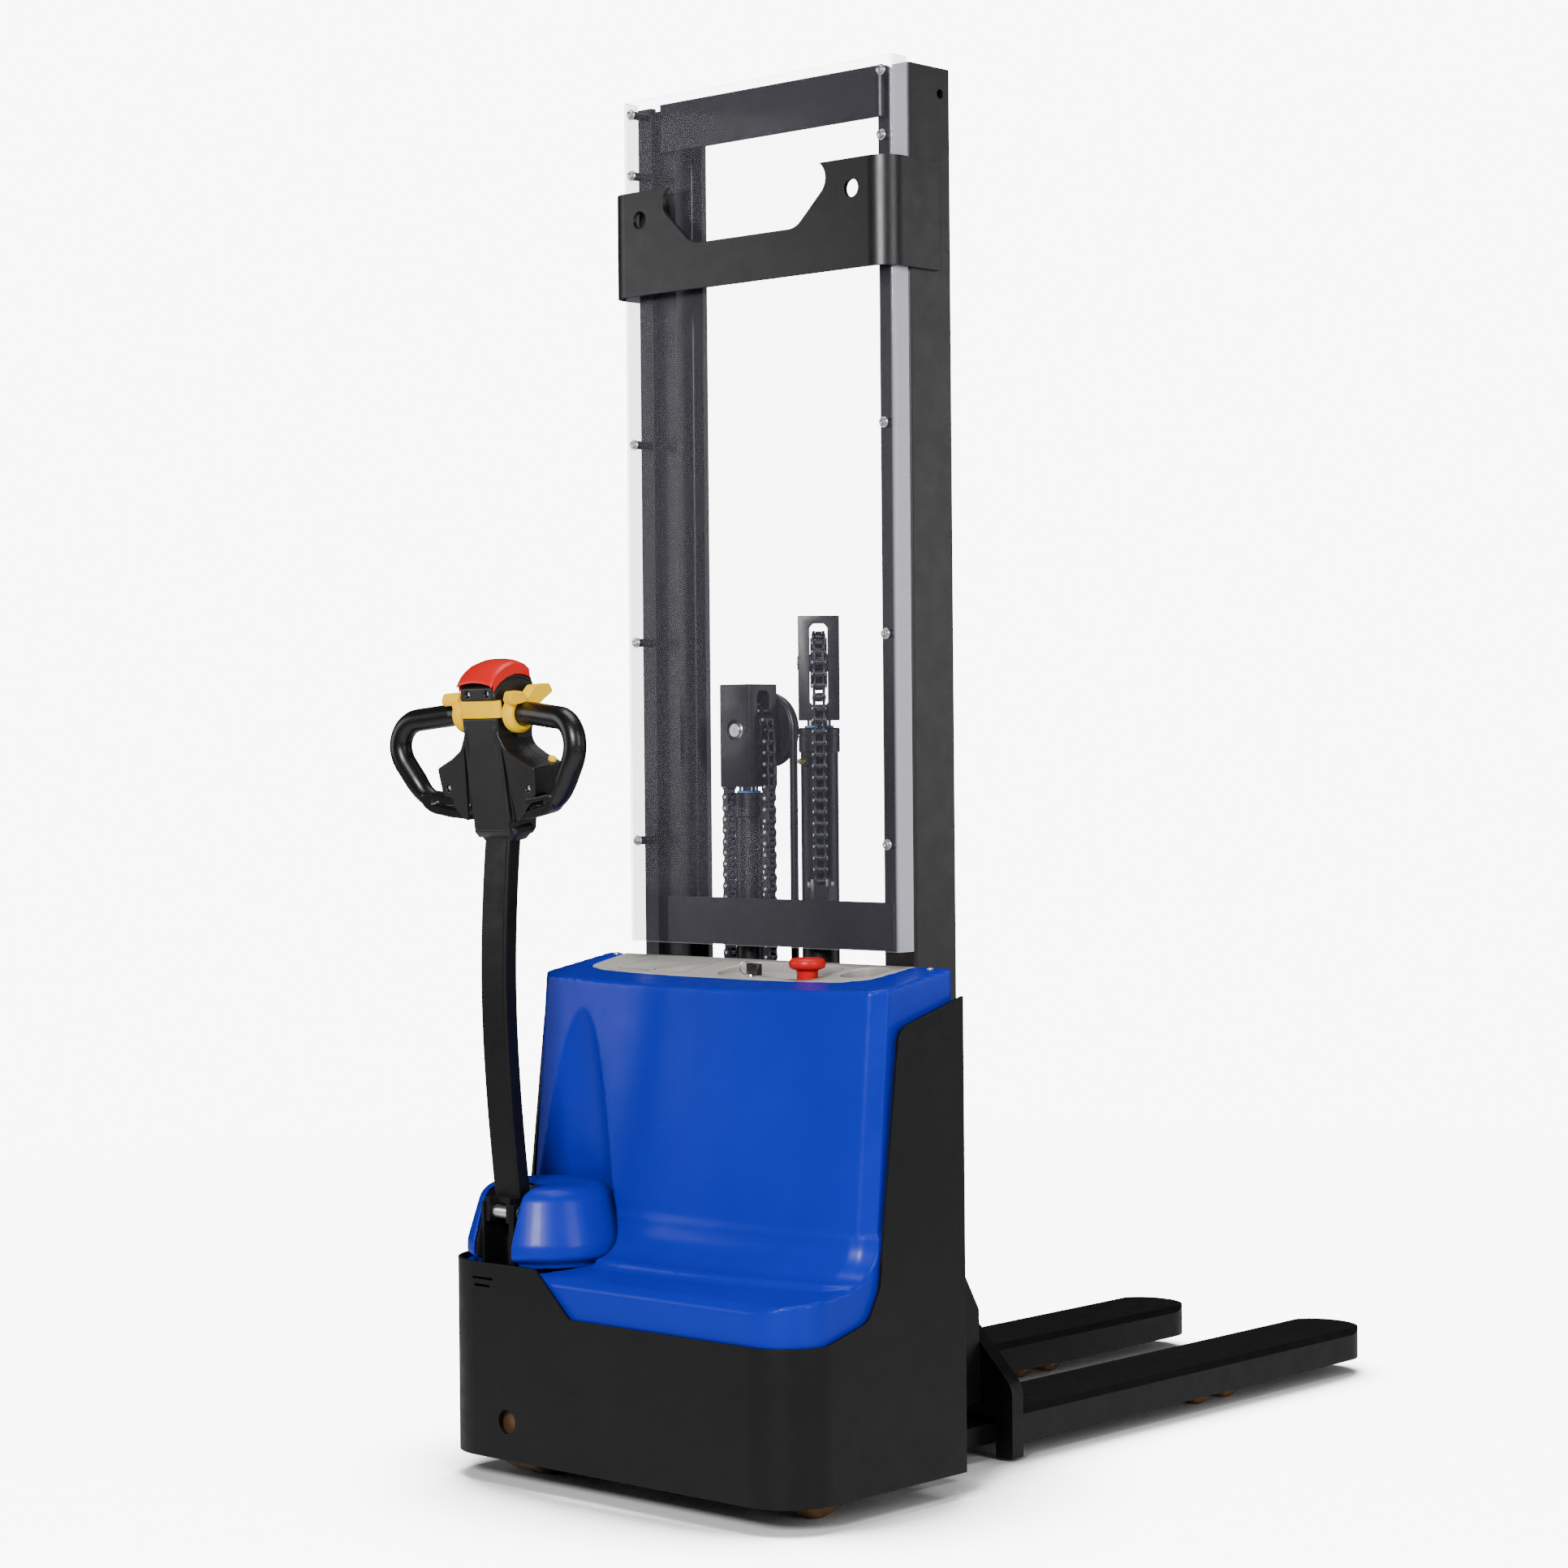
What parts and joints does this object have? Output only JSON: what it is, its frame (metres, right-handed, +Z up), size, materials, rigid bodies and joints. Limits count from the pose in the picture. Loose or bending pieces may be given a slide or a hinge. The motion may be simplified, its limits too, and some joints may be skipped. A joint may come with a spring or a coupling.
{
  "type": "walkie stacker",
  "caption": "Pedestrian pallet stacker with offset tiller, telescopic mast behind a clear guard, chain lift cylinders and forks over straddle legs.",
  "frame": {"origin": "on the floor under the centre of the whole machine's bounding box at rest; the truck's own centreline is the plane x = 0.04825 m and the chassis rear face is y = -0.8705 m", "axes": "+Z up, +Y towards the fork tips, +X to the machine's right as seen from behind the tiller"},
  "size_m": [0.8931, 1.8083, 2.308],
  "materials": {
    "chassis_black": "fine textured powder coat",
    "cover_blue": "satin moulded blue",
    "dash_grey": "fine grained moulding",
    "mast_black": "satin black enamel",
    "clear_window": "clear polycarbonate",
    "zinc": "zinc plated",
    "black_plastic": "grained moulded plastic",
    "grip_rubber": "soft touch",
    "red_plastic": "smooth",
    "yellow_plastic": "smooth",
    "chain_steel": "oiled steel",
    "chromed_rod": "hard chrome",
    "cast_black": "painted casting",
    "drive_tread": "cream polyurethane on an iron hub",
    "roller_tread": "amber polyurethane",
    "battery_case": "plain moulding",
    "heatsink": "finned extrusion",
    "hose_rubber": "smooth hose"
  },
  "bodies": {
    "root": {"chassis_skirt": "chassis_black", "chassis_frame": "chassis_black", "rear_cover": "cover_blue", "dash_panel": "dash_grey", "outer_mast_channels": "mast_black", "mast_guard": "mast_black", "mast_window": "clear_window", "window_spacers": "black_plastic", "window_screws": "zinc", "support_legs": "chassis_black", "lift_barrel_left": "mast_black", "battery_blocks": "battery_case", "motor_controller": "heatsink", "hydraulic_unit": "cast_black", "steering_bearing": "chain_steel", "chain_left_fixed": "chain_steel", "hose_fixed": "hose_rubber"},
    "steering": {"drive_gearbox": "cast_black", "drive_motor": "cast_black", "steer_hood": "cover_blue", "tiller_bracket": "chassis_black", "tiller_pin": "zinc", "gas_spring": "chassis_black"},
    "traction_wheel": {"drive_wheel": "drive_tread"},
    "tiller": {"tiller_tube": "chassis_black", "tiller_collar": "black_plastic", "handle_housing": "black_plastic", "handle_grips": "grip_rubber", "handle_band": "yellow_plastic"},
    "travel_switches": {"travel_switch": "yellow_plastic"},
    "belly_pad": {"belly_button": "red_plastic"},
    "lift_key": {"lift_button": "yellow_plastic"},
    "lower_key": {"lower_button": "yellow_plastic"},
    "caster_swivel": {"caster_fork": "zinc"},
    "caster_roll": {"caster_wheel": "roller_tread"},
    "roller_left_rear": {"load_roller_left_rear": "roller_tread"},
    "roller_left_front": {"load_roller_left_front": "roller_tread"},
    "roller_right_rear": {"load_roller_right_rear": "roller_tread"},
    "roller_right_front": {"load_roller_right_front": "roller_tread"},
    "left_rod": {"piston_rod_left": "chromed_rod", "lift_head_left": "mast_black"},
    "left_sheave": {"chain_wheel_left": "chain_steel"},
    "hose_sheave": {"hose_pulley": "black_plastic"},
    "inner_mast": {"inner_mast_channels": "mast_black", "inner_top_cross": "mast_black", "inner_lower_cross": "mast_black", "lift_barrel_right": "mast_black", "chain_right_fixed": "chain_steel", "chain_left_moving": "chain_steel", "hose_moving": "hose_rubber"},
    "right_rod": {"piston_rod_right": "chromed_rod", "lift_head_right": "mast_black"},
    "right_sheave": {"chain_wheel_right": "chain_steel"},
    "carriage": {"load_carriage": "chassis_black", "fork_left": "chassis_black", "fork_right": "chassis_black", "chain_right_moving": "chain_steel"},
    "key": {"ignition_key": "zinc"},
    "stop_button": {"emergency_stop": "red_plastic"},
    "tray_lid": {"dash_lid": "dash_grey"}
  },
  "joints": [
    {"name": "steer", "type": "hinge", "parent": "root", "child": "steering", "pos_m": [-0.21375, -0.7445, 0.284], "axis": [0, 0, 1], "range_deg": [-90, 90]},
    {"name": "drive_roll", "type": "hinge", "parent": "steering", "child": "traction_wheel", "pos_m": [-0.21375, -0.7445, 0.11], "axis": [1, 0, 0], "continuous": true},
    {"name": "tiller_tilt", "type": "hinge", "parent": "steering", "child": "tiller", "pos_m": [-0.21375, -0.8405, 0.443], "axis": [1, 0, 0], "range_deg": [0, 80], "stiffness_Nm_per_rad": 30, "springref_deg": -20.05},
    {"name": "travel_twist", "type": "hinge", "parent": "tiller", "child": "travel_switches", "pos_m": [-0.21375, -0.85533, 1.25892], "axis": [1, 0, 0], "range_deg": [-25, 25], "stiffness_Nm_per_rad": 0.8},
    {"name": "belly_press", "type": "slide", "parent": "tiller", "child": "belly_pad", "axis": [0, 0.1668, -0.986], "range_m": [0, 0.005], "stiffness_N_per_m": 900, "springref_m": -0.004},
    {"name": "lift_press", "type": "slide", "parent": "tiller", "child": "lift_key", "axis": [0, -0.986, -0.1668], "range_m": [0, 0.003], "stiffness_N_per_m": 500, "springref_m": -0.001},
    {"name": "lower_press", "type": "slide", "parent": "tiller", "child": "lower_key", "axis": [0, -0.986, -0.1668], "range_m": [0, 0.003], "stiffness_N_per_m": 500, "springref_m": -0.001},
    {"name": "caster_turn", "type": "hinge", "parent": "root", "child": "caster_swivel", "pos_m": [0.34825, -0.7405, 0.13], "axis": [0, 0, 1], "continuous": true},
    {"name": "caster_spin", "type": "hinge", "parent": "caster_swivel", "child": "caster_roll", "pos_m": [0.34825, -0.7125, 0.05], "axis": [1, 0, 0], "continuous": true},
    {"name": "spin_left_rear", "type": "hinge", "parent": "root", "child": "roller_left_rear", "pos_m": [-0.15675, 0.4215, 0.037], "axis": [1, 0, 0], "continuous": true},
    {"name": "spin_left_front", "type": "hinge", "parent": "root", "child": "roller_left_front", "pos_m": [-0.15675, 0.5075, 0.037], "axis": [1, 0, 0], "continuous": true},
    {"name": "spin_right_rear", "type": "hinge", "parent": "root", "child": "roller_right_rear", "pos_m": [0.25325, 0.4215, 0.037], "axis": [1, 0, 0], "continuous": true},
    {"name": "spin_right_front", "type": "hinge", "parent": "root", "child": "roller_right_front", "pos_m": [0.25325, 0.5075, 0.037], "axis": [1, 0, 0], "continuous": true},
    {"name": "left_ram", "type": "slide", "parent": "root", "child": "left_rod", "axis": [0, 0, 1], "range_m": [0, 0.8], "deforming": ["chain_left_fixed", "hose_fixed"]},
    {"name": "inner_mast_lift", "type": "slide", "parent": "left_rod", "child": "inner_mast", "axis": [0, 0, 1], "range_m": [0, 0.8], "deforming": ["chain_left_moving", "hose_moving"]},
    {"name": "left_sheave_spin", "type": "hinge", "parent": "left_rod", "child": "left_sheave", "pos_m": [-0.05875, -0.4095, 1.23], "axis": [0, 1, 0], "range_deg": [-1010, 10]},
    {"name": "hose_sheave_spin", "type": "hinge", "parent": "left_rod", "child": "hose_sheave", "pos_m": [-0.05875, -0.361, 1.23], "axis": [0, 1, 0], "range_deg": [-790, 10]},
    {"name": "right_ram", "type": "slide", "parent": "inner_mast", "child": "right_rod", "axis": [0, 0, 1], "range_m": [0, 0.8], "deforming": ["chain_right_fixed"]},
    {"name": "carriage_lift", "type": "slide", "parent": "right_rod", "child": "carriage", "axis": [0, 0, 1], "range_m": [0, 0.8], "deforming": ["chain_right_moving"]},
    {"name": "right_sheave_spin", "type": "hinge", "parent": "right_rod", "child": "right_sheave", "pos_m": [0.09825, -0.4045, 1.341], "axis": [0.7431, 0.6691, 0], "range_deg": [-10, 1010]},
    {"name": "key_turn", "type": "hinge", "parent": "root", "child": "key", "pos_m": [0.07425, -0.5505, 0.82], "axis": [0, 0, 1], "range_deg": [-90, 0]},
    {"name": "stop_press", "type": "slide", "parent": "root", "child": "stop_button", "axis": [0, 0, -1], "range_m": [0, 0.005]},
    {"name": "lid_open", "type": "hinge", "parent": "root", "child": "tray_lid", "pos_m": [-0.13875, -0.485, 0.843], "axis": [-1, 0, 0], "range_deg": [0, 50]}
  ],
  "couplings": [
    {"joint": "inner_mast_lift", "follows": "left_ram", "ratio": 1},
    {"joint": "left_sheave_spin", "follows": "left_ram", "rad_per_m": -21.739},
    {"joint": "hose_sheave_spin", "follows": "left_ram", "rad_per_m": -16.949},
    {"joint": "carriage_lift", "follows": "right_ram", "ratio": 1},
    {"joint": "right_sheave_spin", "follows": "right_ram", "rad_per_m": 21.739}
  ]
}
